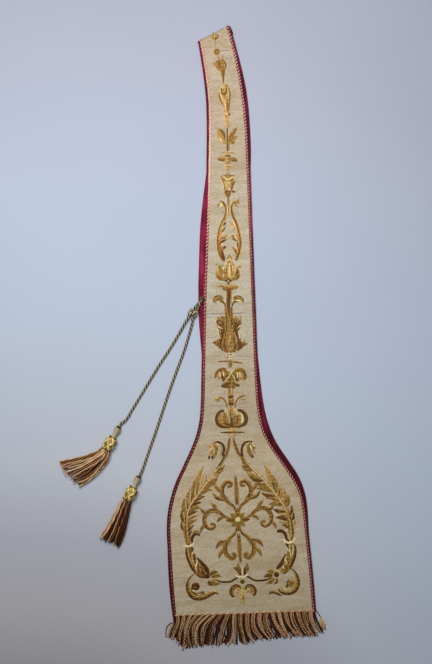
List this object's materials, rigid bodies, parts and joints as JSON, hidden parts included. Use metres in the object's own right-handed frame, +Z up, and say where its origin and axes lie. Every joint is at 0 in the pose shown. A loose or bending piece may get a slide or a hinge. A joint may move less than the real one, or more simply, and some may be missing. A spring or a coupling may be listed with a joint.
{
  "type": "clerical stole",
  "caption": "Clerical stole folded in half at the neck and laid flat: flared silk end with relief scrollwork, corded trim, hem fringe, knotted tie cord with tassels.",
  "frame": {"origin": "bottom centre of the folded stole's bounding box, measured without the tie cord, its knot and tassels", "axes": "+Y along the stole from the fringed hem to the neck, +X to the right of the front half as seen from above, +Z up from the surface it lies on"},
  "size_m": [0.4661, 1.1211, 0.0199],
  "materials": {
    "cream_silk": "ribbed cream silk, aged",
    "crimson_satin": "crimson satin lining",
    "trim_cord": "narrow twisted cord, pink gold with dark red",
    "fringe_strand": "twisted tan and brown strands",
    "gilt_thread": "gold thread, netted or satin stitched",
    "tie_cord": "twisted gold and dark cord"
  },
  "bodies": {
    "root": {"front_face": "cream_silk", "front_lining": "crimson_satin", "back_half": "crimson_satin", "trim_left": "trim_cord", "trim_right": "trim_cord", "front_fringe": "fringe_strand", "back_fringe": "fringe_strand", "tie_knot": "tie_cord", "tie_cord_a": "tie_cord", "tie_cord_a_top": "tie_cord", "tie_cord_b": "tie_cord", "tie_cord_b_top": "tie_cord", "tassel_a_head": "gilt_thread", "tassel_b_head": "gilt_thread", "tassel_a_skirt": "fringe_strand", "tassel_b_skirt": "fringe_strand", "stitch_arm_left": "gilt_thread", "stitch_arm_right": "gilt_thread", "stitch_bar": "gilt_thread", "stitch_bracket": "gilt_thread", "stitch_branch_curl_left": "gilt_thread", "stitch_branch_curl_right": "gilt_thread", "stitch_branch_left": "gilt_thread", "stitch_branch_right": "gilt_thread", "stitch_bud": "gilt_thread", "stitch_crossbar": "gilt_thread", "stitch_hem_petal": "gilt_thread", "stitch_hem_scroll_left": "gilt_thread", "stitch_hem_scroll_right": "gilt_thread", "stitch_lotus": "gilt_thread", "stitch_lotus_petal_left": "gilt_thread", "stitch_lotus_petal_right": "gilt_thread", "stitch_lower_scroll_left": "gilt_thread", "stitch_lower_scroll_right": "gilt_thread", "stitch_lyre_arm_left": "gilt_thread", "stitch_lyre_arm_right": "gilt_thread", "stitch_pod": "gilt_thread", "stitch_rosette": "gilt_thread", "stitch_side_scroll_left": "gilt_thread", "stitch_side_scroll_right": "gilt_thread", "stitch_tulip": "gilt_thread", "stitch_twin_curl_left": "gilt_thread", "stitch_twin_curl_right": "gilt_thread", "stitch_upper_scroll_left": "gilt_thread", "stitch_upper_scroll_right": "gilt_thread", "stitch_urn": "gilt_thread", "stitch_urn_scroll_left": "gilt_thread", "stitch_urn_scroll_right": "gilt_thread", "stitch_urn_stem": "gilt_thread", "stitch_vase": "gilt_thread", "stitch_vase_high_leaf_left": "gilt_thread", "stitch_vase_high_leaf_right": "gilt_thread", "stitch_vase_low_leaf_left": "gilt_thread", "stitch_vase_low_leaf_right": "gilt_thread", "stitch_vase_stem_left": "gilt_thread", "stitch_vase_stem_right": "gilt_thread", "stitch_volute_left": "gilt_thread", "stitch_volute_right": "gilt_thread", "stitch_wing_left": "gilt_thread", "stitch_wing_right": "gilt_thread"}
  },
  "joints": []
}
